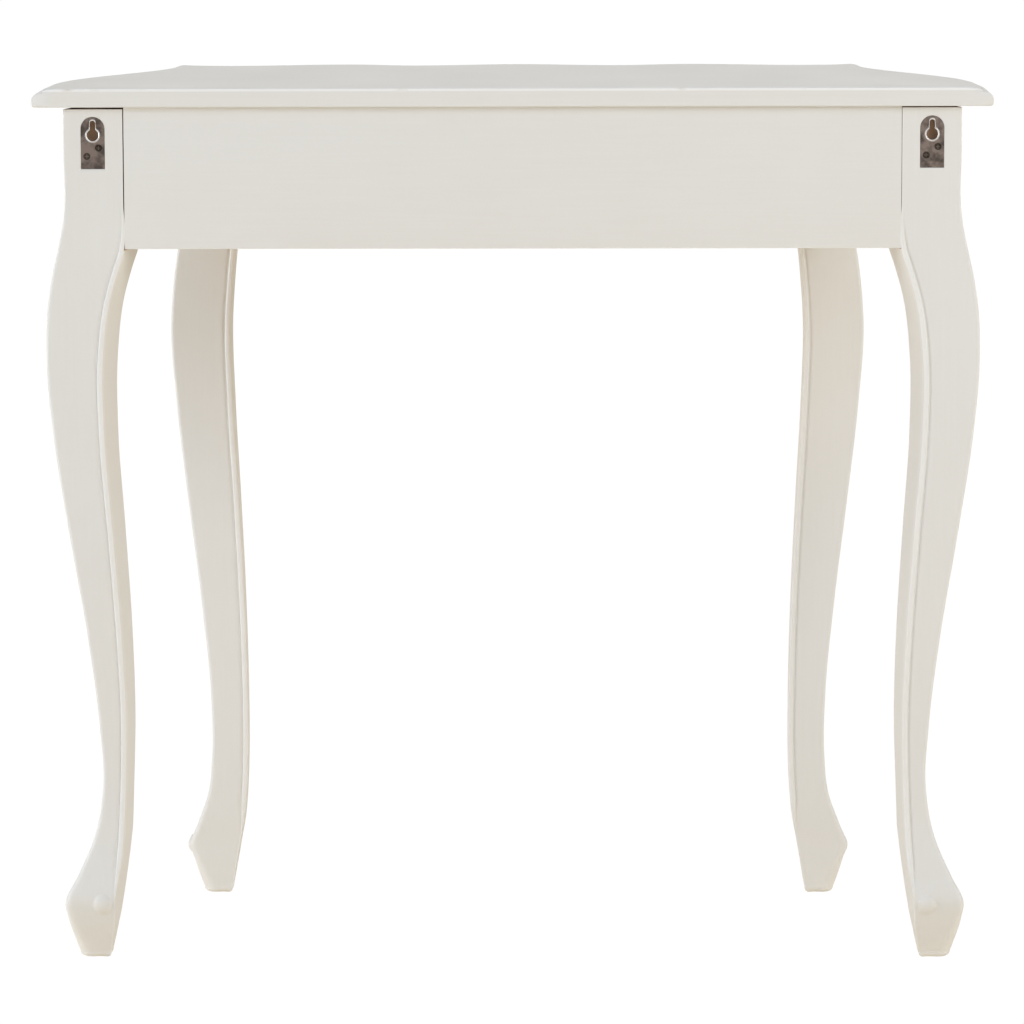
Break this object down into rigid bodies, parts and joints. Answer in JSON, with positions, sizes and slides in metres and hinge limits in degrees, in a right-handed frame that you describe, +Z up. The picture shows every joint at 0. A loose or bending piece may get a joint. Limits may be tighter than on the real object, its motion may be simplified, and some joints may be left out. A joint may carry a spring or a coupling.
{
  "type": "dressing table",
  "caption": "Painted dressing table with a serpentine top on cabriole legs, a row of shallow drawers in the front and keyhole hangers let into the back.",
  "frame": {"origin": "on the floor under the middle of the top", "axes": "+Z up; +Y towards the flat back with the hanger plates; drawers open towards -Y; +X to the right of someone sitting at the drawers"},
  "size_m": [0.87, 0.42, 0.808],
  "materials": {
    "painted_wood": "satin off-white paint",
    "bare_wood": "sanded pine, thin clear sealer",
    "plywood": "sanded plywood",
    "beech": "raw turned beech",
    "hanger_steel": "dull zinc-plated steel",
    "plate_screw_steel": "dark oxide",
    "zinc_steel": "zinc plated",
    "knob_metal": "aged brass, satin"
  },
  "bodies": {
    "frame": {"top_panel": "painted_wood", "rear_apron": "painted_wood", "front_rail_top": "painted_wood", "front_rail_bottom": "painted_wood", "leg_rear_right": "painted_wood", "leg_front_right": "painted_wood", "side_apron_right": "painted_wood", "drawer_divider_right": "painted_wood", "corner_block_right": "bare_wood", "hanger_plate_right": "hanger_steel", "runner_inner_right": "bare_wood", "runner_outer_right": "bare_wood", "kicker_inner_right": "bare_wood", "kicker_outer_right": "bare_wood", "leg_rear_left": "painted_wood", "leg_front_left": "painted_wood", "side_apron_left": "painted_wood", "drawer_divider_left": "painted_wood", "corner_block_left": "bare_wood", "hanger_plate_left": "hanger_steel", "runner_inner_left": "bare_wood", "runner_outer_left": "bare_wood", "kicker_inner_left": "bare_wood", "kicker_outer_left": "bare_wood", "frame_dowels": "beech", "top_screws": "zinc_steel", "hanger_bolts": "zinc_steel", "bolt_washers": "zinc_steel", "bolt_nuts": "zinc_steel", "plate_screws": "plate_screw_steel"},
    "drawer_centre": {"drawer_front_centre": "painted_wood", "drawer_side_centre_right": "bare_wood", "drawer_side_centre_left": "bare_wood", "drawer_back_centre": "bare_wood", "drawer_bottom_centre": "plywood", "knob_centre": "knob_metal", "knob_screw_centre": "zinc_steel"},
    "drawer_right": {"drawer_front_right": "painted_wood", "drawer_side_right_right": "bare_wood", "drawer_side_right_left": "bare_wood", "drawer_back_right": "bare_wood", "drawer_bottom_right": "plywood", "knob_right": "knob_metal", "knob_screw_right": "zinc_steel"},
    "drawer_left": {"drawer_front_left": "painted_wood", "drawer_side_left_right": "bare_wood", "drawer_side_left_left": "bare_wood", "drawer_back_left": "bare_wood", "drawer_bottom_left": "plywood", "knob_left": "knob_metal", "knob_screw_left": "zinc_steel"}
  },
  "joints": [
    {"name": "slide_centre", "type": "slide", "parent": "frame", "child": "drawer_centre", "axis": [0, -1, 0], "range_m": [0, 0.22]},
    {"name": "slide_right", "type": "slide", "parent": "frame", "child": "drawer_right", "axis": [0, -1, 0], "range_m": [0, 0.22]},
    {"name": "slide_left", "type": "slide", "parent": "frame", "child": "drawer_left", "axis": [0, -1, 0], "range_m": [0, 0.22]}
  ]
}
